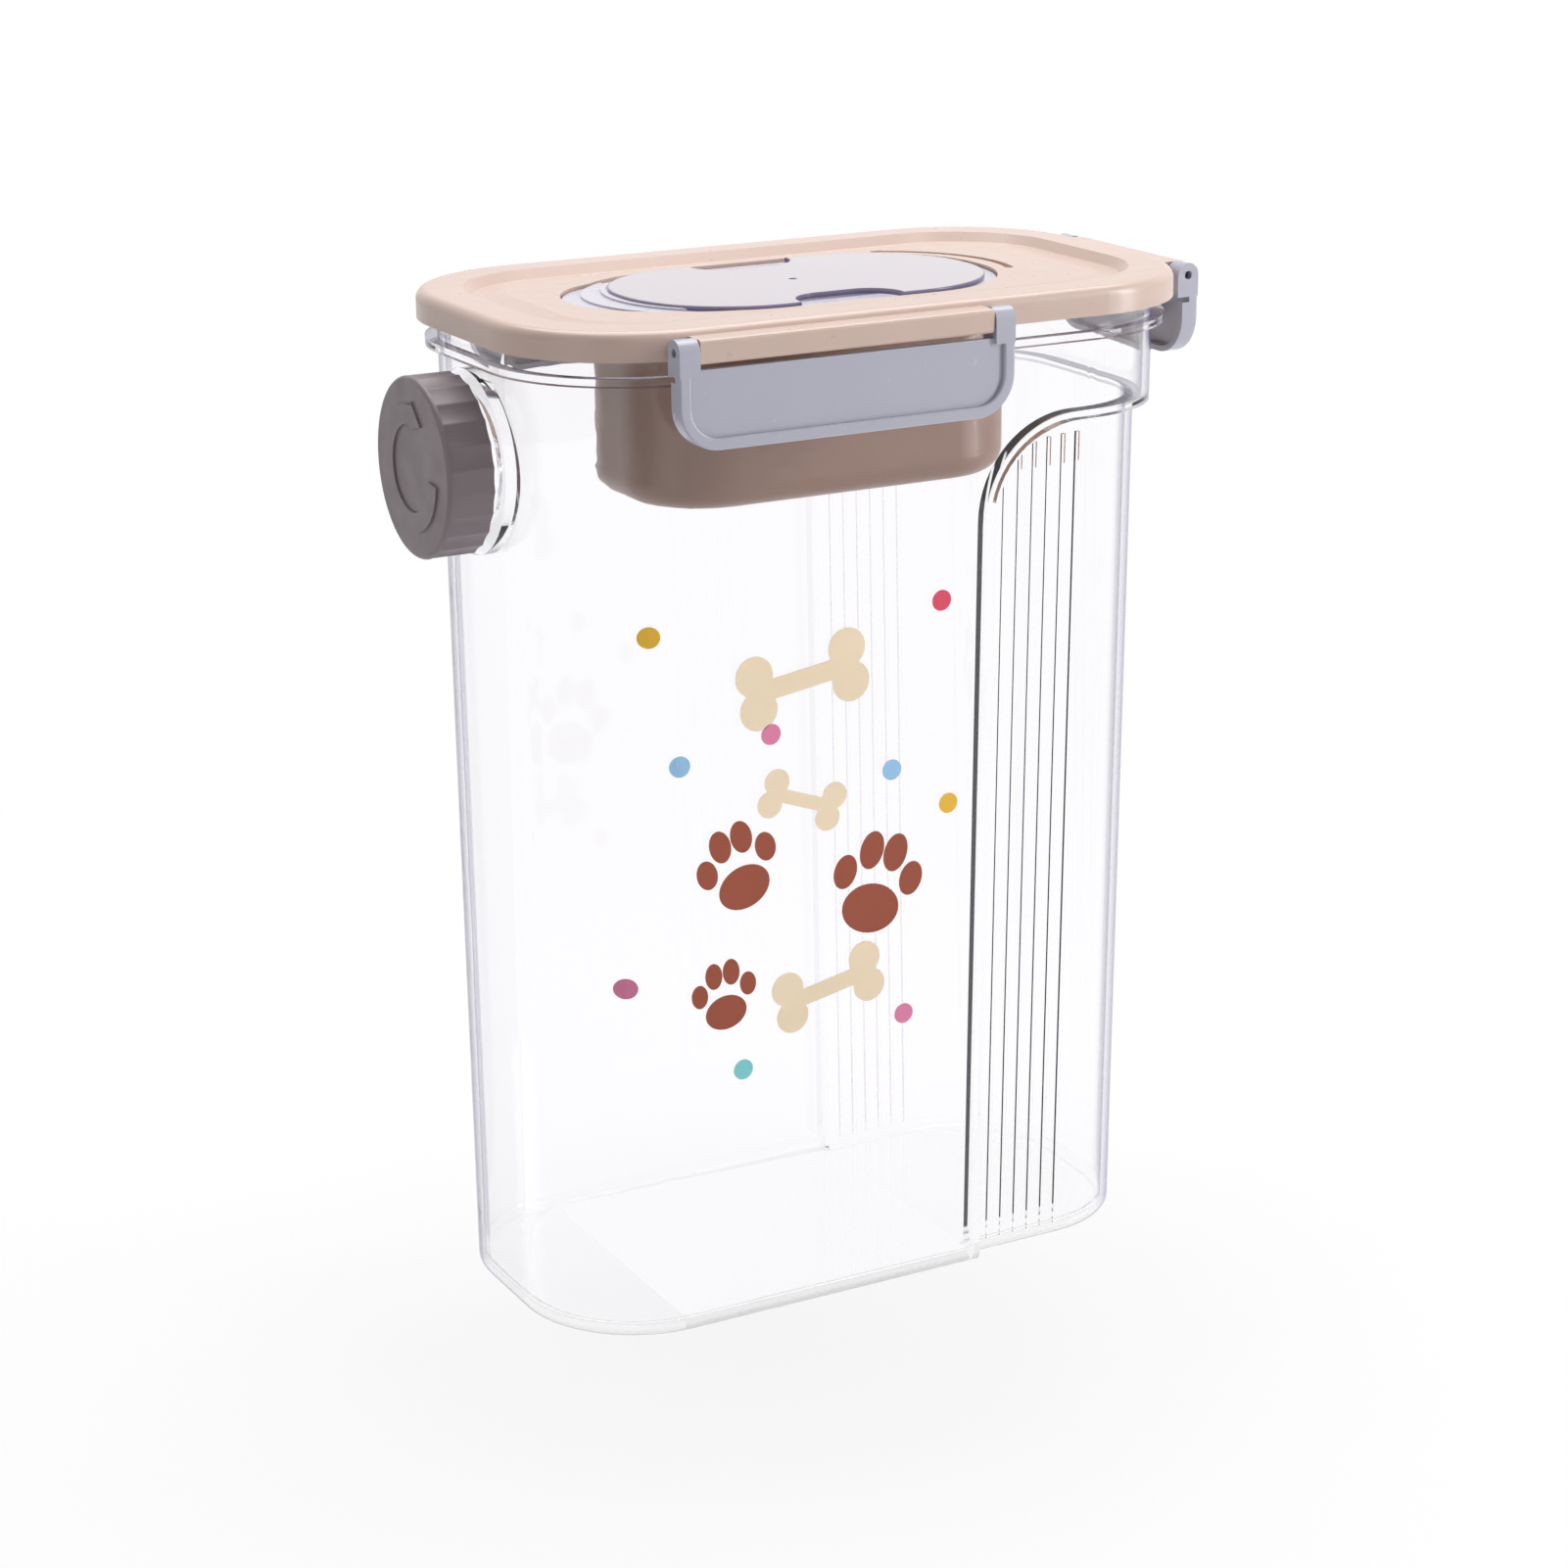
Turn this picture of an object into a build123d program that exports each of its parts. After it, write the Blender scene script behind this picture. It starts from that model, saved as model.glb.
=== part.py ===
from build123d import *
import math
import os

os.makedirs("parts", exist_ok=True)

# Jar walls: length along X, depth along Y, corner radius, at the base and at the flange
BASE_SIZE = (206.0, 101.5, 38.0)
TOP_SIZE = (206.0, 115.0, 39.5)
FLANGE_LOW = 284.5
FLANGE_THICK = 2.4
FLANGE_OUT = 3.6
RIM_TOP = 296.2
JAR_WALL = 2.2
JAR_FLOOR = 3.0
BASE_ROUND = 3.0

# Hand grip pressed into the front, the back and the right end
GRIP_DEPTH = 4.8
GRIP_LEFT = 33.0
GRIP_TOP = 261.0
GRIP_CORNER = 28.0
RIB_FIRST = 38.4
RIB_PITCH = 4.85
RIB_TOPS = (247.0, 253.0, 255.0, 256.0, 256.4, 256.6)
RIB_WIDTH = 1.2
RIB_PROUD = 0.9
RIB_FOOT = 5.0

# Pouring spout on the left end
SPOUT_Z = 256.6
NECK_OUTER = 21.4
NECK_BORE = 19.2
NECK_END = -119.6
NECK_FLANGE = 26.4
NECK_FLANGE_OUT = -106.4
THREAD_LEAD = 4.0
THREAD_PROUD = 0.9
THREAD_WIDTH = 1.3
THREAD_TIP_SHARE = 0.55
THREAD_SUNK = 0.3
THREAD_BACK = 8.2
NECK_THREAD_TURNS = 1.5
CAP_THREAD_TURNS = 1.0
CAP_BACK = -109.2
CAP_FACE = -123.0
CAP_RADIUS = 25.7
CAP_FLUTES = 24
FLUTE_RADIUS = 14.0
FLUTE_DEEP = 0.55
CAP_ROUND = 1.3
CAP_INNER = 22.8
CAP_END_WALL = 1.9
SEAL_THICK = 1.3
SEAL_GAP = 0.05
SEAL_IN = 1.4
SEAL_OVER_BORE = 3.0
ARROW_RADII = (12.4, 18.0)
ARROW_GAP = (6.0, 97.0)
ARROW_TIP = 26.0
ARROW_BARB = 1.2
ARROW_PROUD = 0.6

# Lid
LID_SIZE = (215.5, 126.0, 42.0)
LID_TOP = 300.0
LID_BOTTOM = 291.8
LID_EDGE_ROUND = 3.0
CHANNEL_OUTER = (211.0, 121.5, 39.8)
CHANNEL_TOP = 297.6
PLUG_SIZE = (197.6, 106.6, 35.3)
PLUG_WALL = 2.2
PLUG_BOTTOM = 291.0
RECESS_TOP = (192.0, 102.0, 33.5)
RECESS_FLOOR = (187.0, 97.0, 31.0)
FLOOR_Z = 297.4
LIP_CENTRE = 0.0
LIP_PLAN = (178.0, 94.0, 30.0)
LIP_SLOPE = 6.0
LIP_Z = 298.3
PLATE_BOTTOM = 295.4
SEAT_CENTRE = 0.25
SEAT_SIZE = (120.5, 75.0, 36.0)
GROOVE_CENTRE = 28.0
GROOVE_RADIUS = 38.4
GROOVE_WIDTH = 2.5
GROOVE_DEPTH = 1.5
GROOVE_ANGLES = (-17.0, 64.0)

# Storage tub under the lid
TUB_CENTRE = 0.0
TUB_SIZE = (122.0, 62.0, 25.0)
TUB_BOTTOM = 240.5
TUB_WALL = 2.0
TUB_FLANGE_CENTRE = -6.7
TUB_FLANGE = (142.0, 84.0, 40.0)
TUB_FLANGE_LOW = 293.2
TUB_BASE_ROUND = 7.0

# Measuring cup kept in the tub and its clear cover
SEAT_GAP = 0.5
CUP_FLANGE_Z = (295.5, 297.3)
CUP_SIZE = (114.0, 56.0, 22.0)
CUP_BOTTOM = 244.0
CUP_WALL = 1.6
CUP_BASE_ROUND = 6.0
TAB_DISCS = ((-45.0, 28.5), (-31.5, 35.4), (-20.5, 39.7))
STEP_HEIGHT = 0.5
STEP_REACH = 116.0
COVER_CENTRE = -0.4
COVER_SIZE = (113.6, 71.0, 34.0)
COVER_Z = (297.4, 299.0)
COVER_WALL = 0.9
COVER_ROUND = 0.6
NOTCH_LENGTH = 33.0
NOTCH_DEPTH = 11.5
NOTCH_CENTRE = -2.0
GATE_RADIUS = 1.2

# Latches and the bars they hang on
PIN_RADIUS = 1.2
PIN_CLEAR = 0.05
PIN_Z = 294.9
PIN_OUT = 4.0
PIN_IN_BAR = 6.0
PIN_IN_EAR = 4.4
BAR_Z = (291.4, 298.2)
BAR_OUT = 7.0
BAR_ROUND = 1.3
BAR_ROOT = 4.0
EAR_WIDTH = 6.2
EAR_GAP = 0.3
EAR_RADIUS = 3.55
EAR_LOW = 288.4
PLATE_TOP = 290.0
PLATE_THICK = 1.8
BORDER_WIDTH = 3.4
BORDER_PROUD = 1.2
PLATE_CORNER = 12.0
CATCH_Z = (280.4, 283.2)
CATCH_GAP = 0.4
CATCH_END_ROOM = 4.0
LONG_LATCH = (-22.3, 104.6, 268.0)
END_LATCH = (0.0, 68.0, 270.5)
END_OUT = 1.4
BACK_RIM = (1.6, 2.6)


def outline(size, z, centre=0.0, grow=0.0):
    """Rounded rectangle face at height z, grown all round by grow."""
    length, depth, corner = size
    face = RectangleRounded(length + 2 * grow, depth + 2 * grow, corner + grow)
    return Pos(centre, 0, z) * face


def slab(size, low, high, centre=0.0, grow=0.0):
    """Straight block with a rounded rectangle plan."""
    return extrude(outline(size, low, centre, grow), high - low)


def wall_size(z):
    """Outer plan of the jar at height z."""
    share = z / FLANGE_LOW
    return tuple(low + (high - low) * share for low, high in zip(BASE_SIZE, TOP_SIZE))


def drafted(low, high, grow):
    """Block that follows the draft of the jar's walls."""
    faces = [outline(wall_size(z), z, grow=grow) for z in (low, high)]
    return loft(faces)


def grip_zone(grow):
    """Region of the jar that the hand grip is pressed into."""
    left = GRIP_LEFT - grow
    top = GRIP_TOP + grow
    corner = GRIP_CORNER + grow
    far = LID_SIZE[0]
    arc_middle = corner * (1 - math.cos(math.radians(45)))
    path = Polyline((left + corner, top), (far, top), (far, -GRIP_CORNER), (left, -GRIP_CORNER),
                    (left, top - corner))
    arc = ThreePointArc((left, top - corner), (left + arc_middle, top - arc_middle), (left + corner, top))
    face = make_face([path, arc])
    return extrude(Plane.XZ * face, LID_SIZE[1], both=True)


def rounded_base(block, radius):
    """Round the lowest outer edges of a block."""
    return fillet(block.faces().sort_by(Axis.Z)[0].edges(), radius)


def spout_disc(radius, start, end):
    """Cylinder on the spout's axis between two X positions, start nearer the jar."""
    return Pos(start, 0, SPOUT_Z) * Rot(0, -90, 0) * Cylinder(
        radius, start - end, align=(Align.CENTER, Align.CENTER, Align.MIN))


def thread_ridge(radius, proud, turns, start):
    """Helical ridge on the spout's axis; a negative proud points inward."""
    helix = Helix(THREAD_LEAD, THREAD_LEAD * turns, radius)
    base = THREAD_WIDTH / 2
    tip = base * THREAD_TIP_SHARE
    root = -THREAD_SUNK * math.copysign(1, proud)
    plane = Plane(origin=helix @ 0, x_dir=(1, 0, 0), z_dir=(0, -1, 0))
    profile = plane * make_face(Polyline((root, -base), (proud, -tip), (proud, tip), (root, base), close=True))
    ridge = sweep(profile, path=helix, is_frenet=True)
    return Pos(start, 0, SPOUT_Z) * Rot(0, -90, 0) * ridge


def make_jar():
    """Clear jar with grip, rim flange and spout neck."""
    outer = rounded_base(drafted(0, RIM_TOP, 0), BASE_ROUND)
    outer_grip = rounded_base(drafted(0, RIM_TOP, -GRIP_DEPTH), BASE_ROUND)
    body = outer - (grip_zone(0) - outer_grip)
    inner = rounded_base(drafted(JAR_FLOOR, RIM_TOP + 1, -JAR_WALL), BASE_ROUND)
    inner_grip = rounded_base(drafted(JAR_FLOOR, RIM_TOP + 1, -JAR_WALL - GRIP_DEPTH), BASE_ROUND)
    body += slab(wall_size(FLANGE_LOW), FLANGE_LOW, FLANGE_LOW + FLANGE_THICK, grow=FLANGE_OUT)
    body += spout_disc(NECK_OUTER, -BASE_SIZE[0] / 2 + JAR_WALL, NECK_END)
    body += spout_disc(NECK_FLANGE, -BASE_SIZE[0] / 2 + JAR_WALL, NECK_FLANGE_OUT)
    body -= inner - (grip_zone(JAR_WALL) - inner_grip)
    body -= spout_disc(NECK_BORE, -BASE_SIZE[0] / 2 + 3 * JAR_WALL, NECK_END - 1)
    for number, top in enumerate(RIB_TOPS):
        for side in (-1, 1):
            body += grip_rib(RIB_FIRST + RIB_PITCH * number, top, side)
    return body + thread_ridge(NECK_OUTER, THREAD_PROUD, NECK_THREAD_TURNS, NECK_END + THREAD_BACK)


def grip_rib(x, top, side):
    """Thin upright rib on the grip face, following the wall's draft."""
    faces = []
    for z in (RIB_FOOT, top):
        y = wall_size(z)[1] / 2 - GRIP_DEPTH
        faces.append(Pos(x, side * y, z) * Rectangle(RIB_WIDTH, 2 * RIB_PROUD))
    return loft(faces)


def turn_arrow():
    """Raised open ring with an arrow head on the cap's face; angles run from the top towards the front."""
    inner, outer = ARROW_RADII
    start, end = ARROW_GAP
    gap = make_face(Polyline((0, 0), polar(2 * outer, start), polar(2 * outer, (start + end) / 2),
                             polar(2 * outer, end), close=True))
    head = make_face(Polyline(polar(inner - ARROW_BARB, start), polar(outer + ARROW_BARB, start),
                              polar((inner + outer) / 2, start + ARROW_TIP), close=True))
    arrow = extrude((Circle(outer) - Circle(inner) - gap) + head, ARROW_PROUD + 0.2)
    return Pos(CAP_FACE + 0.2, 0, SPOUT_Z) * Rot(0, -90, 0) * arrow


def polar(radius, degrees):
    """Point on the cap's face at an angle from the top towards the front."""
    angle = math.radians(degrees)
    return (radius * math.cos(angle), -radius * math.sin(angle))


def make_spout_cap():
    """Screw cap with shallow flutes round its side."""
    depth = CAP_BACK - CAP_FACE
    grip = extrude(Circle(CAP_RADIUS), depth)
    grip = fillet(grip.faces().sort_by(Axis.Z)[-1].edges(), CAP_ROUND)
    flute = Pos(0, 0, -1) * extrude(Circle(FLUTE_RADIUS), depth + 1 - CAP_ROUND)
    places = PolarLocations(CAP_RADIUS + FLUTE_RADIUS - FLUTE_DEEP, CAP_FLUTES).local_locations
    grip -= [place_here * flute for place_here in places]
    cap = Pos(CAP_BACK, 0, SPOUT_Z) * Rot(0, -90, 0) * grip
    cap -= spout_disc(CAP_INNER, CAP_BACK + 1, CAP_FACE + CAP_END_WALL)
    cap += thread_ridge(CAP_INNER, -THREAD_PROUD, CAP_THREAD_TURNS, NECK_END + THREAD_BACK - THREAD_LEAD / 2)
    return cap + turn_arrow()


def make_spout_seal():
    """Soft ring between the neck's end and the cap."""
    back = CAP_FACE + CAP_END_WALL + SEAL_THICK + SEAL_GAP
    seal = spout_disc(CAP_INNER - SEAL_IN, back, back - SEAL_THICK)
    return seal - spout_disc(NECK_BORE - SEAL_OVER_BORE, back + 1, back - SEAL_THICK - 1)


def bar(latch, at_end):
    """Hinge bar on the lid's edge, between a latch's two ears."""
    centre, width, _ = latch
    long = width - 2 * EAR_WIDTH - 2 * EAR_GAP
    high = BAR_Z[1] - BAR_Z[0]
    block = Pos(0, (BAR_ROOT - BAR_OUT) / 2, 0) * Box(long, BAR_OUT + BAR_ROOT, high)
    block = fillet(block.edges().filter_by(Axis.X).group_by(Axis.Y)[0], BAR_ROUND)
    return place(Pos(0, 0, (BAR_Z[0] + BAR_Z[1]) / 2) * block, centre, at_end)


def place(piece, centre, at_end):
    """Move a piece built against the plane Y = 0 to the lid's front edge or right end."""
    if at_end:
        return Pos(LID_SIZE[0] / 2 + END_OUT, centre, 0) * Rot(0, 0, 90) * piece
    return Pos(centre, -LID_SIZE[1] / 2, 0) * piece


def pin_at(latch, at_end, side, radius, grow=0.0):
    """Short hinge pin that stands out of one end of a bar; side -1 or 1."""
    centre, width, _ = latch
    bar_end = width / 2 - EAR_WIDTH - EAR_GAP
    low = bar_end - PIN_IN_BAR
    long = PIN_IN_BAR + EAR_GAP + PIN_IN_EAR + grow
    pin = Rot(0, side * 90, 0) * Cylinder(radius, long, align=(Align.CENTER, Align.CENTER, Align.MIN))
    return place(Pos(side * low, -PIN_OUT, PIN_Z) * pin, centre, at_end)


def make_cover():
    """Lid with its skirt, recessed top, plug wall and hinge bars."""
    lid = slab(LID_SIZE, LID_BOTTOM, LID_TOP)
    lid = fillet(lid.faces().sort_by(Axis.Z)[-1].edges(), LID_EDGE_ROUND)
    lid += slab(PLUG_SIZE, PLUG_BOTTOM, LID_BOTTOM + 1)
    lid -= slab(CHANNEL_OUTER, LID_BOTTOM - 1, CHANNEL_TOP) - slab(PLUG_SIZE, LID_BOTTOM - 2, CHANNEL_TOP + 1)
    lid -= slab(PLUG_SIZE, PLUG_BOTTOM - 1, PLATE_BOTTOM, grow=-PLUG_WALL)
    lid -= loft([outline(RECESS_FLOOR, FLOOR_Z), outline(RECESS_TOP, LID_TOP)])
    lid += lip()
    lid -= seat(PLATE_BOTTOM - 1, LID_TOP, 0)
    first, last = GROOVE_ANGLES
    groove = SlotArc(CenterArc((GROOVE_CENTRE, 0), GROOVE_RADIUS, first, last - first), GROOVE_WIDTH)
    lid -= Pos(0, 0, LIP_Z - GROOVE_DEPTH) * extrude(groove, 2 * GROOVE_DEPTH)
    room = slab(CHANNEL_OUTER, LID_BOTTOM - 5, CHANNEL_TOP)
    front = bar(LONG_LATCH, False) - room
    lid += [front, mirror(front, Plane.XZ), bar(END_LATCH, True) - room]
    for side in (-1, 1):
        hole = pin_at(LONG_LATCH, False, side, PIN_RADIUS)
        lid -= [hole, mirror(hole, Plane.XZ), pin_at(END_LATCH, True, side, PIN_RADIUS)]
    return lid


def seat(low, high, grow):
    """Block with the plan of the cup's seat: the cover's plan and the round tab left of it."""
    tab = [Pos(x, 0, low) * extrude(Circle(radius + grow), high - low) for x, radius in TAB_DISCS[:2]]
    return slab(SEAT_SIZE, low, high, SEAT_CENTRE, grow) + tab


def lip():
    """Low plateau round the seat that slopes down to the floor of the recess."""
    foot = slab(LIP_PLAN, FLOOR_Z - 1, FLOOR_Z, LIP_CENTRE)
    return foot + loft([outline(LIP_PLAN, FLOOR_Z, LIP_CENTRE), outline(LIP_PLAN, LIP_Z, LIP_CENTRE, -LIP_SLOPE)])


def make_gasket():
    """Soft ring in the lid's channel that the jar's rim presses on."""
    ring = slab(CHANNEL_OUTER, RIM_TOP + 0.05, CHANNEL_TOP, grow=-0.3)
    return ring - slab(PLUG_SIZE, RIM_TOP - 1, CHANNEL_TOP + 1, grow=0.3)


def bowl(size, centre, low, high, wall, base_round):
    """Open bowl with rounded lower edges."""
    outer = rounded_base(slab(size, low, high, centre), base_round)
    inner = slab(size, low + wall, high + 1, centre, grow=-wall)
    return outer - rounded_base(inner, base_round - wall)


def make_tub():
    """Storage tub glued under the lid's plate."""
    tub = bowl(TUB_SIZE, TUB_CENTRE, TUB_BOTTOM, TUB_FLANGE_LOW + 0.5, TUB_WALL, TUB_BASE_ROUND)
    flange = slab(TUB_FLANGE, TUB_FLANGE_LOW, PLATE_BOTTOM, TUB_FLANGE_CENTRE)
    return tub + (flange - slab(TUB_SIZE, TUB_FLANGE_LOW - 1, PLATE_BOTTOM + 1, TUB_CENTRE, grow=-TUB_WALL))


def make_measuring_cup():
    """Measuring cup with a flange and a stepped thumb tab at its left end."""
    low, high = CUP_FLANGE_Z
    cup = bowl(CUP_SIZE, TUB_CENTRE, CUP_BOTTOM, low + 0.5, CUP_WALL, CUP_BASE_ROUND)
    cup += seat(low, high, -SEAT_GAP) - slab(CUP_SIZE, low - 1, high + 1, TUB_CENTRE, grow=-CUP_WALL)
    hollow = slab(COVER_SIZE, low, LID_TOP, COVER_CENTRE, grow=SEAT_GAP)
    keep = Pos(-LID_SIZE[0] / 2, 0, high) * Box(STEP_REACH, LID_SIZE[1], 30)
    for number, (x, radius) in enumerate(TAB_DISCS[1:], start=1):
        top = high + STEP_HEIGHT * number
        step = Pos(x, 0, low) * extrude(Circle(radius - SEAT_GAP), top - low)
        cup += (step & seat(low, top, -SEAT_GAP) & keep) - hollow
    return cup


def make_cup_cover():
    """Clear cover over the cup, with a finger notch in each long side."""
    low, high = COVER_Z
    cover = slab(COVER_SIZE, low, high, COVER_CENTRE)
    cover = fillet(cover.faces().sort_by(Axis.Z)[-1].edges(), COVER_ROUND)
    cover -= slab(COVER_SIZE, low - 1, high - COVER_WALL, COVER_CENTRE, grow=-COVER_WALL)
    inside = slab(COVER_SIZE, low, high, COVER_CENTRE, grow=-COVER_WALL / 2)
    for side in (-1, 1):
        edge = side * COVER_SIZE[1] / 2
        cover += notch(edge, COVER_WALL, low, high) & inside
        cover -= notch(edge, 0, low - 1, high + 1)
    return cover - Pos(NOTCH_CENTRE, 0, high) * Cylinder(GATE_RADIUS, COVER_WALL)


def notch(edge, grow, low, high):
    """Finger notch block on one long side of the cover."""
    long = NOTCH_LENGTH + 2 * grow
    deep = 2 * (NOTCH_DEPTH + grow)
    plan = RectangleRounded(long, deep, min(long, deep) / 2 - 1)
    return extrude(Pos(NOTCH_CENTRE, edge, low) * plan, high - low)


def make_latch(latch, at_end):
    """Latch: bordered plate, two ears on the hinge pins and a catch rib."""
    centre, width, low = latch
    high = PLATE_TOP - low
    face_y = -PIN_OUT - EAR_RADIUS + BORDER_PROUD
    plan = Pos(0, low + high / 2) * Rectangle(width, high)
    plan = fillet(plan.vertices().group_by(Axis.Y)[0], PLATE_CORNER)
    inner = Pos(0, low + high / 2 + BORDER_WIDTH / 2) * Rectangle(width - 2 * BORDER_WIDTH, high - BORDER_WIDTH)
    inner = fillet(inner.vertices().group_by(Axis.Y)[0], PLATE_CORNER - BORDER_WIDTH)
    plate = extrude(upright(plan, face_y), -PLATE_THICK)
    border = extrude(upright(plan - inner, face_y), BORDER_PROUD)
    border = fillet(border.faces().sort_by(Axis.Y)[0].edges(), BORDER_PROUD / 2)
    piece = plate + border + back_rim(plan, face_y + PLATE_THICK)
    for side in (-1, 1):
        piece += ear(side * (width - EAR_WIDTH) / 2)
    piece += catch_rib(width, latch, at_end, face_y + PLATE_THICK)
    piece = place(piece, centre, at_end)
    for side in (-1, 1):
        piece -= pin_at(latch, at_end, side, PIN_RADIUS + PIN_CLEAR, grow=EAR_WIDTH)
    return piece


def upright(face, y):
    """Stand a flat face up in the plane at Y = y."""
    return Plane.XZ.offset(-y) * face


def back_rim(plan, y):
    """Rib round the sides and foot of a latch plate's back."""
    thick, deep = BACK_RIM
    ring = plan - offset(plan, -thick) - Pos(0, PLATE_TOP) * Rectangle(LONG_LATCH[1], 4 * thick)
    return extrude(upright(ring, y - 0.2), -deep)


def ear(x):
    """Ear with a round top that the hinge pin runs in."""
    profile = Pos(-PIN_OUT, PIN_Z) * Circle(EAR_RADIUS)
    profile += Pos(-PIN_OUT, (PIN_Z + EAR_LOW) / 2) * Rectangle(2 * EAR_RADIUS, PIN_Z - EAR_LOW)
    return Pos(x, 0, 0) * extrude(Plane.YZ * profile, EAR_WIDTH / 2, both=True)


def catch_rib(width, latch, at_end, start):
    """Rib that hooks under the jar's flange when the latch is pressed home."""
    reach = catch_reach(at_end)
    low, high = CATCH_Z
    long = width - 2 * EAR_WIDTH - 2 * CATCH_END_ROOM
    if at_end:
        long = 2 * (TOP_SIZE[1] / 2 - TOP_SIZE[2])
    return Pos(0, (start - 0.3 + reach) / 2, (low + high) / 2) * Box(long, reach - start + 0.3, high - low)


def catch_reach(at_end):
    """Gap between the lid's edge and the flange's edge, less the clearance."""
    index = 0 if at_end else 1
    lid_edge = LID_SIZE[index] / 2
    flange_edge = wall_size(FLANGE_LOW)[index] / 2 + FLANGE_OUT
    return lid_edge + (END_OUT if at_end else 0) - flange_edge - CATCH_GAP


front_latch = make_latch(LONG_LATCH, False)
nodes = {
    "jar_body": make_jar(),
    "spout_cap": make_spout_cap(),
    "spout_seal": make_spout_seal(),
    "lid_cover": make_cover(),
    "lid_gasket": make_gasket(),
    "lid_tub": make_tub(),
    "measuring_cup": make_measuring_cup(),
    "cup_cover": make_cup_cover(),
    "latch_front": front_latch,
    "latch_back": mirror(front_latch, Plane.XZ),
    "latch_side": make_latch(END_LATCH, True),
}
for name, side in (("left", -1), ("right", 1)):
    pin = pin_at(LONG_LATCH, False, side, PIN_RADIUS)
    nodes[f"pin_front_{name}"] = pin
    nodes[f"pin_back_{name}"] = mirror(pin, Plane.XZ)
    nodes[f"pin_side_{name}"] = pin_at(END_LATCH, True, side, PIN_RADIUS)

for name, piece in nodes.items():
    export_step(piece, f"parts/{name}.step")
    box = piece.bounding_box()
    print(name, len(piece.solids()), [round(v, 1) for v in (*box.min, *box.max)])
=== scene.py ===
# %% [markdown]
# A clear storage jar for a pet owner's kitchen. It has a tan lid held down by grey latches, a brown tub
# with a measuring cup under the lid, and a screw-capped pouring spout on its left end. The exact shapes
# come from the CAD parts, so nothing is modelled twice. This lesson gives them their plastics, adds the
# printed pattern on the front wall, and lights and frames the jar like a catalogue photograph.

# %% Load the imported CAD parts
import math

import bpy
from mathutils import Matrix, Vector


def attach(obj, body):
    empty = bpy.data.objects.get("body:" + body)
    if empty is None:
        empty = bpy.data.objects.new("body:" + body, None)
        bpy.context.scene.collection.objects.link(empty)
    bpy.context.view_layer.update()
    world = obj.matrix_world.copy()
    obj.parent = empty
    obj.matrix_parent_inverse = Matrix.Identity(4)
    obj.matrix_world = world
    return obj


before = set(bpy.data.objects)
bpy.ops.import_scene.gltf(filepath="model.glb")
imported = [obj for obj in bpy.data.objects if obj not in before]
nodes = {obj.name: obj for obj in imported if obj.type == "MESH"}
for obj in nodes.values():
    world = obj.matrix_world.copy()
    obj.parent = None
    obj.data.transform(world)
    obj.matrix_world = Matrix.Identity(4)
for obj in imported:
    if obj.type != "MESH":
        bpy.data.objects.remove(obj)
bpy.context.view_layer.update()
print("loaded", sorted(nodes))

# %% [markdown]
# Every finish here is wired from the same few steps. A ramp turns one value, such as a noise, into a
# colour or a roughness that runs between two ends. A mix picks one shader or another by a factor. Small
# helpers for these keep each material short enough to read as a recipe.

# %% Helpers for wiring a material
NOISE_DETAIL = 3.0
NOISE_DARK_END, NOISE_LIGHT_END = 0.3, 0.7


def new_material(name):
    material = bpy.data.materials.new(name)
    material.use_nodes = True
    shader = material.node_tree.nodes["Principled BSDF"]
    print("material", name)
    return material, material.node_tree, shader


def ramp_between(tree, source, first, last, ends, socket):
    """Feeds a socket with a first and a last value or colour, between two ends of the source."""
    ramp = tree.nodes.new("ShaderNodeValToRGB")
    for element, place, value in zip(ramp.color_ramp.elements, ends, (first, last)):
        channels = value if isinstance(value, tuple) else (value, value, value)
        element.position = place
        element.color = (*channels, 1.0)
    tree.links.new(source, ramp.inputs["Fac"])
    tree.links.new(ramp.outputs["Color"], socket)


def noise_between(tree, low, high, scale, socket):
    """Feeds a socket with a noise that runs between two values or colours."""
    coords = tree.nodes.new("ShaderNodeTexCoord")
    noise = tree.nodes.new("ShaderNodeTexNoise")
    noise.inputs["Scale"].default_value = scale
    noise.inputs["Detail"].default_value = NOISE_DETAIL
    tree.links.new(coords.outputs["Object"], noise.inputs["Vector"])
    ramp_between(tree, noise.outputs["Fac"], low, high, (NOISE_DARK_END, NOISE_LIGHT_END), socket)


def mix_shaders(tree, factor, when_zero, when_one):
    """One shader where the factor is 0 and another where it is 1."""
    mix = tree.nodes.new("ShaderNodeMixShader")
    tree.links.new(factor, mix.inputs["Fac"])
    tree.links.new(when_zero, mix.inputs[1])
    tree.links.new(when_one, mix.inputs[2])
    return mix.outputs["Shader"]


def any_ray(tree, first_kind, *other_kinds):
    """A socket that is 1 for any of these kinds of ray and 0 for all others."""
    paths = tree.nodes.new("ShaderNodeLightPath")
    found = paths.outputs[first_kind]
    for kind in other_kinds:
        either = tree.nodes.new("ShaderNodeMath")
        either.operation = "MAXIMUM"
        tree.links.new(found, either.inputs[0])
        tree.links.new(paths.outputs[kind], either.inputs[1])
        found = either.outputs["Value"]
    return found


print("helpers ready")

# %% [markdown]
# The lid, the latches and the cap are moulded plastic. A single flat colour would look like paper, so a
# slow noise shifts the colour a little, as pigment never mixes quite evenly, and a fine noise varies the
# roughness, as a mould's polish is never quite even. A thin coat adds a sharper shine to the smoothest
# pieces.

# %% A recipe for moulded plastic
PIGMENT_SCALE = 14.0
POLISH_SCALE = 160.0
POLISH_SPREAD = 0.15
PLASTIC_IOR = 1.5
COAT_ROUGHNESS = 0.08


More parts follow.
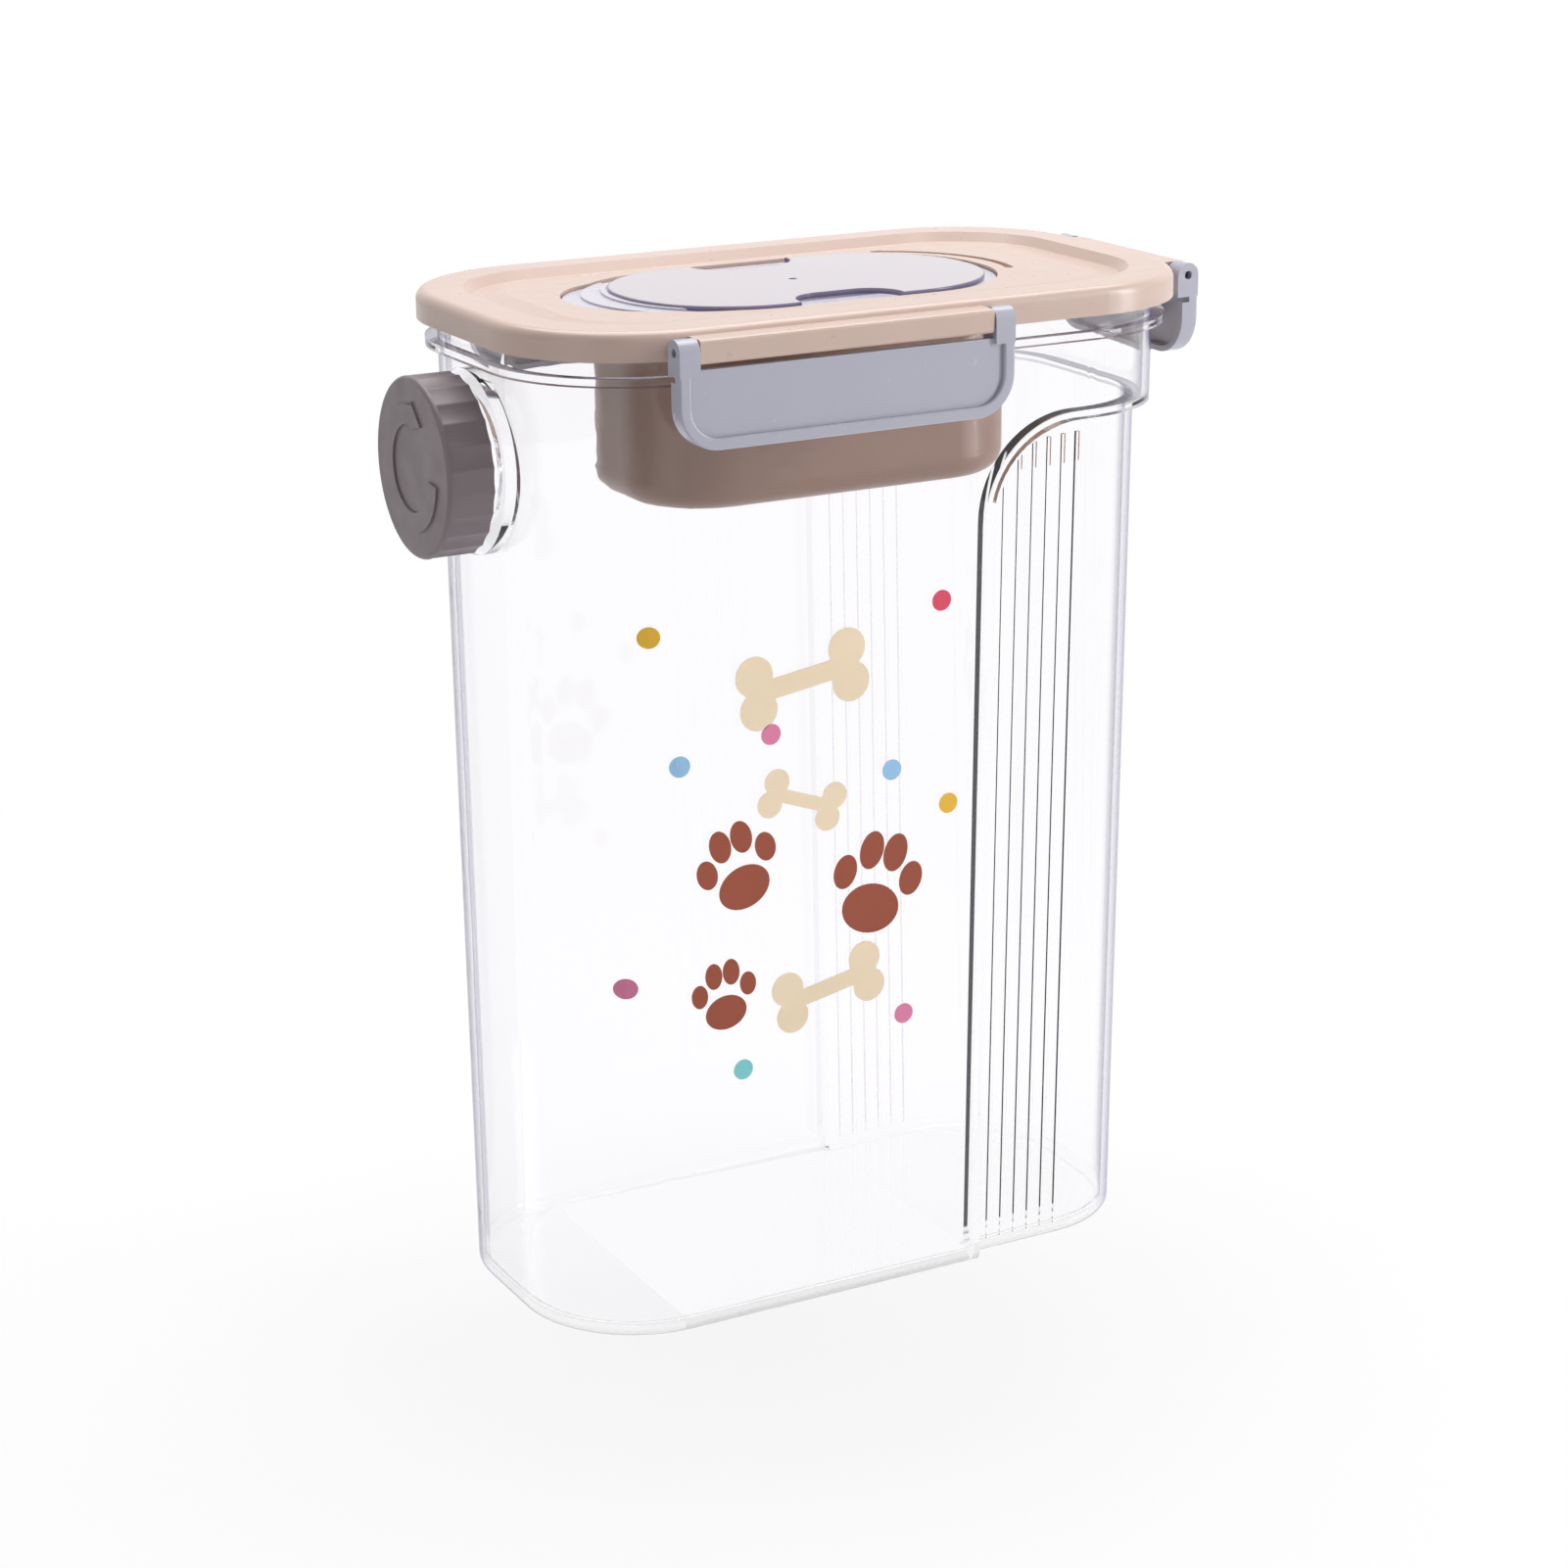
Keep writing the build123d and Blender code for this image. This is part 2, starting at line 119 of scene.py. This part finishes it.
def plastic(name, colour, roughness, spread=0.03, coat=0.0):
    """Opaque moulded plastic."""
    material, tree, shader = new_material(name)
    darker = tuple(channel * (1 - spread) for channel in colour)
    lighter = tuple(min(1.0, channel * (1 + spread)) for channel in colour)
    smoother, rougher = roughness * (1 - POLISH_SPREAD), roughness * (1 + POLISH_SPREAD)
    noise_between(tree, darker, lighter, PIGMENT_SCALE, shader.inputs["Base Color"])
    noise_between(tree, smoother, rougher, POLISH_SCALE, shader.inputs["Roughness"])
    shader.inputs["IOR"].default_value = PLASTIC_IOR
    shader.inputs["Coat Weight"].default_value = coat
    shader.inputs["Coat Roughness"].default_value = COAT_ROUGHNESS
    return material


# %% [markdown]
# The lid is a warm tan with a soft shine. The tub is the same plastic with the same soft shine, but its
# colour is made much darker and browner as painted shade, for the shadow it hangs in under the lid.
# The latches are a cool lilac grey, the cup a paler one, and the spout's cap is a darker mauve grey with
# a matter skin that fingers can grip. The seals are soft and dull, and the pins are dark, as they show
# only as small dots.

# %% The opaque plastics
LID_COLOUR = (0.58, 0.435, 0.375)
# The tub's colour is the lid's tan, darkened and browned as painted shade for the shadow under the lid.
TUB_PAINTED_SHADE_COLOUR = (0.235, 0.135, 0.10)
LATCH_COLOUR = (0.43, 0.43, 0.51)
CAP_COLOUR = (0.18, 0.145, 0.16)
CUP_COLOUR = (0.55, 0.53, 0.60)
SEAL_COLOUR = (0.75, 0.75, 0.76)
PIN_COLOUR = (0.10, 0.08, 0.09)

lid_plastic = plastic("lid_plastic", LID_COLOUR, 0.32, coat=0.05)
tub_painted_shade_plastic = plastic("tub_painted_shade_plastic", TUB_PAINTED_SHADE_COLOUR, 0.34)
latch_plastic = plastic("latch_plastic", LATCH_COLOUR, 0.24, coat=0.05)
cap_plastic = plastic("cap_plastic", CAP_COLOUR, 0.45)
cup_plastic = plastic("cup_plastic", CUP_COLOUR, 0.3)
seal_rubber = plastic("seal_rubber", SEAL_COLOUR, 0.6)
pin_plastic = plastic("pin_plastic", PIN_COLOUR, 0.4)

# %% [markdown]
# The jar and the cup's cover are clear plastic. They could be plain glass, but then lamps would hardly
# reach the tub behind the wall, because glass casts a dark shadow in the renderer. So lamp light and
# soft indirect light are let straight through, and only what the eye sees is refracted. Where a wall is
# seen edge on it lets less through, because the eye looks along more of the plastic there.

# %% A recipe for clear plastic
CLEAR_IOR = 1.35
CLEAR_POLISH_SCALE = 40.0
CLEAR_POLISH_SPREAD = 0.4
EDGE_SHARE = 0.3
EDGE_HAZE_ENDS = (0.7, 0.88)


def edge_on(tree):
    """A socket that is 0 where a wall faces the eye and 1 where it is seen edge on."""
    return tree.nodes.new("ShaderNodeLayerWeight").outputs["Facing"]


def clear_plastic(name, roughness, transmission):
    """Clear plastic that casts no dark shadow. Its colour is wired up afterwards."""
    material, tree, shader = new_material(name)
    shader.inputs["IOR"].default_value = CLEAR_IOR
    smoother, rougher = roughness * (1 - CLEAR_POLISH_SPREAD), roughness * (1 + CLEAR_POLISH_SPREAD)
    noise_between(tree, smoother, rougher, CLEAR_POLISH_SCALE, shader.inputs["Roughness"])
    see_through = shader.inputs["Transmission Weight"]
    ramp_between(tree, edge_on(tree), transmission, EDGE_SHARE * transmission, EDGE_HAZE_ENDS, see_through)
    through = tree.nodes.new("ShaderNodeBsdfTransparent")
    for_light = any_ray(tree, "Is Shadow Ray", "Is Diffuse Ray")
    surface = mix_shaders(tree, for_light, shader.outputs["BSDF"], through.outputs["BSDF"])
    tree.links.new(surface, tree.nodes["Material Output"].inputs["Surface"])
    return material


# %% [markdown]
# On a white ground a perfectly clear jar would vanish. The real one shows by the lilac lines along its
# edges, so its colour turns from nearly white to a deep lilac where a wall is seen edge on.

# %% The jar's clear plastic
JAR_FACE = (0.99, 0.985, 0.995)
JAR_EDGE = (0.12, 0.11, 0.28)
EDGE_TINT_ENDS = (0.6, 0.88)


def tint_edges(material, face_colour, edge_colour):
    """One colour where a wall faces the eye, and another where it is seen edge on."""
    tree = material.node_tree
    base = tree.nodes["Principled BSDF"].inputs["Base Color"]
    ramp_between(tree, edge_on(tree), face_colour, edge_colour, EDGE_TINT_ENDS, base)


jar_clear = clear_plastic("jar_clear", 0.02, 1.0)
tint_edges(jar_clear, JAR_FACE, JAR_EDGE)
print("jar edges", JAR_EDGE)

# %% [markdown]
# The cover of the cup is thin, flat and a little frosted. Seen from low down, a tint by the angle of the
# eye would darken all of its top. The dark line belongs to the rounded rim and the upright walls alone,
# so here the tint follows which way the surface points: up, or to a side.

# %% The cover's clear plastic
COVER_TOP = (0.56, 0.51, 0.55)
COVER_WALL = (0.20, 0.18, 0.29)
UPRIGHT_ENDS = (0.75, 0.97)


def tint_walls(material, wall_colour, top_colour):
    """One colour on upright walls and rounded rims, and another on flat tops."""
    tree = material.node_tree
    base = tree.nodes["Principled BSDF"].inputs["Base Color"]
    coords = tree.nodes.new("ShaderNodeTexCoord")
    parts = tree.nodes.new("ShaderNodeSeparateXYZ")
    tree.links.new(coords.outputs["Normal"], parts.inputs["Vector"])
    ramp_between(tree, parts.outputs["Z"], wall_colour, top_colour, UPRIGHT_ENDS, base)


cover_clear = clear_plastic("cover_clear", 0.10, 0.4)
tint_walls(cover_clear, COVER_WALL, COVER_TOP)
print("cover walls", COVER_WALL)

# %% [markdown]
# Each CAD part is one mesh of one plastic, so it takes a single material. The pins are many and alike:
# they aren't listed, and any part without an entry gets the pins' plastic.

# %% Give each CAD part its plastic
FINISHES = {
    "jar_body": jar_clear,
    "spout_cap": cap_plastic,
    "spout_seal": seal_rubber,
    "lid_cover": lid_plastic,
    "lid_gasket": seal_rubber,
    "lid_tub": tub_painted_shade_plastic,
    "measuring_cup": cup_plastic,
    "cup_cover": cover_clear,
    "latch_front": latch_plastic,
    "latch_back": latch_plastic,
    "latch_side": latch_plastic,
}
for name, node in nodes.items():
    node.data.materials.clear()
    node.data.materials.append(FINISHES.get(name, pin_plastic))
print("finished", len(nodes), "parts")

# %% [markdown]
# The front wall carries a screen-printed pattern. Print is a very thin coat of ink, so each colour is
# a thin piece of mesh lying just off the wall, rather than a picture on a surface. The wall leans out a
# little towards the rim and turns round a corner towards the spout. One function says where its surface
# is, and every printed point is laid on that.

# %% Where the front wall is
WALL_FOOT_Y = -0.05075
WALL_TOP_Y = -0.0575
WALL_TOP_Z = 0.2845
WALL_END_X = -0.103
CORNER_FOOT_RADIUS = 0.038
CORNER_TOP_RADIUS = 0.0395


def wall_y(x, z):
    """The front wall's place, with its rounded corner on the spout's side."""
    share = z / WALL_TOP_Z
    flat = WALL_FOOT_Y + (WALL_TOP_Y - WALL_FOOT_Y) * share
    radius = CORNER_FOOT_RADIUS + (CORNER_TOP_RADIUS - CORNER_FOOT_RADIUS) * share
    past = min(0.0, x - (WALL_END_X + radius))
    return flat + radius - math.sqrt(radius**2 - past**2)


print("wall at foot and top", wall_y(0.0, 0.0), round(wall_y(0.0, WALL_TOP_Z), 5))

# %% [markdown]
# The pattern is made of paw prints, bones and dots. Each is drawn as an outline round its own middle,
# from circles and arcs, then turned and moved to its place. A paw is one broad pad and four toes, in
# shares of its size, and a bone is a bar with two knobs at each end.

# %% Outlines for the pattern
ELLIPSE_POINTS = 40
PAD = (0.0, -0.35, 0.66, 0.52)
OUTER_TOES = ((-0.78, 0.35, 0.26, 0.36), (0.78, 0.35, 0.26, 0.36))
INNER_TOES = ((-0.28, 0.85, 0.27, 0.4), (0.28, 0.85, 0.27, 0.4))
KNOB_RADIUS, KNOB_SPACING = 0.2, 0.85
KNOB_SWEEPS = ((200, -55), (55, -200), (20, -235), (235, -20))
KNOB_STEPS = 14


def placed(outline, x, z, turn):
    """Turns an outline round its middle and moves it to its place on the wall."""
    cos, sin = math.cos(turn), math.sin(turn)
    return [(x + px * cos - pz * sin, z + px * sin + pz * cos) for px, pz in outline]


def ellipse(across, high):
    angles = [math.tau * step / ELLIPSE_POINTS for step in range(ELLIPSE_POINTS)]
    return [(across * math.cos(angle), high * math.sin(angle)) for angle in angles]


def paw(x, z, size, turn):
    shapes = []
    for px, pz, across, high in (PAD, *OUTER_TOES, *INNER_TOES):
        middle_x, middle_z = placed([(px * size, pz * size)], x, z, turn)[0]
        shapes.append(placed(ellipse(across * size, high * size), middle_x, middle_z, turn))
    return shapes


def bone(x, z, length, turn):
    half, knob = length / 2, length * KNOB_RADIUS
    corners = ((half, 1), (half, -1), (-half, -1), (-half, 1))
    outline = []
    for (knob_x, side), (start, end) in zip(corners, KNOB_SWEEPS):
        knob_z = side * knob * KNOB_SPACING
        for step in range(KNOB_STEPS + 1):
            angle = math.radians(start + (end - start) * step / KNOB_STEPS)
            outline.append((knob_x + knob * math.cos(angle), knob_z + knob * math.sin(angle)))
    return placed(outline, x, z, turn)


print("a paw has", len(paw(0.0, 0.0, 1.0, 0.0)), "shapes")

# %% [markdown]
# Some dots sit on the rounded corner. A flat disc there would dip into the plastic at its middle, so a
# dot is made of four quarters that meet at a point on the wall, which lets it fold with the curve.

# %% Dots that bend with the corner
DOT_RADIUS = 0.0031
QUARTER = ELLIPSE_POINTS // 4


def dots(*places):
    quarters = []
    for x, z in places:
        rim = placed(ellipse(DOT_RADIUS, DOT_RADIUS), x, z, 0.0)
        rim.append(rim[0])
        for start in range(0, ELLIPSE_POINTS, QUARTER):
            quarters.append([(x, z)] + rim[start:start + QUARTER + 1])
    return quarters


print("a dot has", len(dots((0.0, 0.0))), "quarters")

# %% [markdown]
# Each outline becomes a slab a tenth of a millimetre thick, with a face in front, one behind and a strip
# round its edge. A whisker of air between ink and wall keeps the two surfaces from flickering into each
# other. The ink rides on the jar, so it stays put when the lid and latches move.

# %% A helper that prints one colour
INK_GAP = 0.0001
INK_THICK = 0.00012
INK_ROUGHNESS = 0.4
INK_SPREAD = 0.05


def ink(name, shapes, colour):
    """One printed colour: every shape is a thin slab that follows the wall."""
    verts, faces = [], []
    for shape in shapes:
        count, first = len(shape), len(verts)
        for lift in (INK_GAP, INK_GAP + INK_THICK):
            verts += [(px, wall_y(px, pz) - lift, pz) for px, pz in shape]
        faces.append(list(range(first + count - 1, first - 1, -1)))
        faces.append(list(range(first + count, first + 2 * count)))
        for step in range(count):
            after = (step + 1) % count
            faces.append([first + step, first + after, first + count + after, first + count + step])
    mesh = bpy.data.meshes.new(name)
    mesh.from_pydata(verts, [], faces)
    mesh.update()
    mesh.materials.append(plastic(name, colour, INK_ROUGHNESS, spread=INK_SPREAD))
    piece = bpy.data.objects.new(name, mesh)
    bpy.context.scene.collection.objects.link(piece)
    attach(piece, "jar")
    print(name, len(shapes), "shapes")


# %% [markdown]
# A screen print lays down one colour at a time, so the pattern is printed here in the same way: all the
# shapes of one colour are one piece. Places are across and up the wall, in metres.

# %% Print the pattern on the front wall
RUST = (0.30, 0.055, 0.02)
CREAM = (0.86, 0.70, 0.50)
YELLOW = (0.80, 0.46, 0.03)
PINK = (0.72, 0.20, 0.37)
SKY = (0.30, 0.54, 0.80)
TEAL = (0.20, 0.60, 0.63)
RED = (0.70, 0.05, 0.11)

paws = paw(-0.050, 0.141, 0.0125, 0.3) + paw(-0.006, 0.128, 0.0145, -0.25) + paw(-0.055, 0.103, 0.010, 0.1)
bones = [bone(-0.030, 0.196, 0.030, 0.15), bone(-0.021, 0.101, 0.026, 0.2), bone(-0.030, 0.160, 0.020, -0.35)]
ink("print_paws", paws, RUST)
ink("print_bones", bones, CREAM)
ink("print_yellow", dots((-0.0772, 0.2140), (0.0186, 0.1513)), YELLOW)
ink("print_pink", dots((-0.0402, 0.1812), (-0.0840, 0.1105), (0.0045, 0.0878)), PINK)
ink("print_sky", dots((-0.0689, 0.1759), (-0.0006, 0.1645)), SKY)
ink("print_teal", dots((-0.0491, 0.0806)), TEAL)
ink("print_red", dots((0.0152, 0.2131)), RED)

# %% [markdown]
# The photograph is a cut-out look: a white ground, almost no shadow and broad soft reflections. Brighter
# lamps would give a white ground, but they would bleach the lid too. Instead the floor and the world are
# white only to the eye, through clear plastic and in reflections, while the light that reaches the jar
# stays moderate.

# %% A world that looks white and lights softly
WORLD_LIGHT = 0.22
WHITE = (1.0, 1.0, 1.0, 1.0)


def seen(tree):
    """A socket that is 1 for what the eye sees, also through or mirrored in plastic."""
    return any_ray(tree, "Is Camera Ray", "Is Transmission Ray", "Is Glossy Ray")


def build_world():
    world = bpy.data.worlds.new("studio")
    bpy.context.scene.world = world
    world.use_nodes = True
    tree = world.node_tree
    tree.nodes.clear()
    light = tree.nodes.new("ShaderNodeBackground")
    light.inputs["Strength"].default_value = WORLD_LIGHT
    white = tree.nodes.new("ShaderNodeBackground")
    white.inputs["Color"].default_value = WHITE
    output = tree.nodes.new("ShaderNodeOutputWorld")
    surface = mix_shaders(tree, seen(tree), light.outputs["Background"], white.outputs["Background"])
    tree.links.new(surface, output.inputs["Surface"])
    print("world light", WORLD_LIGHT)


build_world()

# %% [markdown]
# The floor is a sheet of pale paper. Near the jar it keeps the soft shadow that makes the jar stand on
# something, and further out it fades into the white of the world, so that no horizon shows.

# %% The floor
FLOOR_HALF = 3.0
PAPER_DARK, PAPER_LIGHT = 0.90, 0.94
PAPER_SCALE = 3.0
PAPER_ROUGHNESS = 0.9
SHADOW_NEAR, SHADOW_FAR = 0.15, 0.55
WHITE_NEAR = 0.75


def fade_to_white(tree, paper):
    """The paper to the eye near the jar, turning white further out."""
    coords = tree.nodes.new("ShaderNodeTexCoord")
    distance = tree.nodes.new("ShaderNodeVectorMath")
    distance.operation = "LENGTH"
    tree.links.new(coords.outputs["Object"], distance.inputs[0])
    fade = tree.nodes.new("ShaderNodeMapRange")
    fade.inputs["From Min"].default_value = SHADOW_NEAR
    fade.inputs["From Max"].default_value = SHADOW_FAR
    fade.inputs["To Min"].default_value = WHITE_NEAR
    tree.links.new(distance.outputs["Value"], fade.inputs["Value"])
    white = tree.nodes.new("ShaderNodeEmission")
    return mix_shaders(tree, fade.outputs["Result"], paper, white.outputs["Emission"])


def build_floor():
    mesh = bpy.data.meshes.new("floor")
    sides = ((-1, -1), (1, -1), (1, 1), (-1, 1))
    mesh.from_pydata([(x * FLOOR_HALF, y * FLOOR_HALF, 0) for x, y in sides], [], [(0, 1, 2, 3)])
    floor = bpy.data.objects.new("floor", mesh)
    bpy.context.scene.collection.objects.link(floor)
    material, tree, shader = new_material("floor_paper")
    noise_between(tree, PAPER_DARK, PAPER_LIGHT, PAPER_SCALE, shader.inputs["Base Color"])
    shader.inputs["Roughness"].default_value = PAPER_ROUGHNESS
    paper = shader.outputs["BSDF"]
    surface = mix_shaders(tree, seen(tree), paper, fade_to_white(tree, paper))
    tree.links.new(surface, tree.nodes["Material Output"].inputs["Surface"])
    mesh.materials.append(material)
    print("floor", 2 * FLOOR_HALF, "m across")


build_floor()

# %% [markdown]
# A large soft lamp overhead brightens the lid's top, which the photograph shows much lighter than its
# sides. A tall strip on the right lights the front latch and the tub, and a weak one on the left keeps
# the spout's cap from going dark. All three are wide, so their shadows have soft edges.

# %% Lamps
LAMP_TARGET = Vector((0.0, 0.0, 0.17))


def soft_lamp(name, place, width, height, power):
    data = bpy.data.lights.new(name, "AREA")
    data.shape = "RECTANGLE"
    data.size = width
    data.size_y = height
    data.energy = power
    lamp = bpy.data.objects.new(name, data)
    lamp.location = place
    lamp.rotation_euler = (LAMP_TARGET - Vector(place)).to_track_quat("-Z", "Y").to_euler()
    bpy.context.scene.collection.objects.link(lamp)
    print("lamp", name, power)


soft_lamp("overhead", (0.15, 0.3, 1.3), width=1.2, height=0.9, power=16.0)
soft_lamp("right_strip", (1.1, -0.9, 0.55), width=0.35, height=1.1, power=15.0)
soft_lamp("left_fill", (-1.2, -0.5, 0.5), width=0.6, height=0.9, power=1.8)

# %% [markdown]
# The camera was worked out from the photograph: the jar's outline at the base, the rim and the lid fix
# where it stood and how it was turned. Setting it by eye would be quicker, but then the proportions
# couldn't be compared with the photograph line by line.

# %% Camera
EYE = Vector((-0.49298, -0.90215, 0.46952))
TURN_RIGHT = math.radians(28.34)
LOOK_DOWN = math.radians(17.51)
TILT = math.radians(-0.52)
SENSOR = 36.0
FOCAL_PIXELS = 3632.3
IMAGE_PIXELS = 1601

camera_data = bpy.data.cameras.new("camera")
camera_data.sensor_width = SENSOR
camera_data.lens = SENSOR * FOCAL_PIXELS / IMAGE_PIXELS
camera = bpy.data.objects.new("camera", camera_data)
turned = Matrix.Rotation(-TURN_RIGHT, 4, "Z") @ Matrix.Rotation(math.pi / 2 - LOOK_DOWN, 4, "X")
camera.matrix_world = Matrix.Translation(EYE) @ turned @ Matrix.Rotation(TILT, 4, "Z")
bpy.context.scene.collection.objects.link(camera)
bpy.context.scene.camera = camera
bpy.context.scene.view_settings.view_transform = "Standard"
print("lens", round(camera_data.lens, 1), "mm")
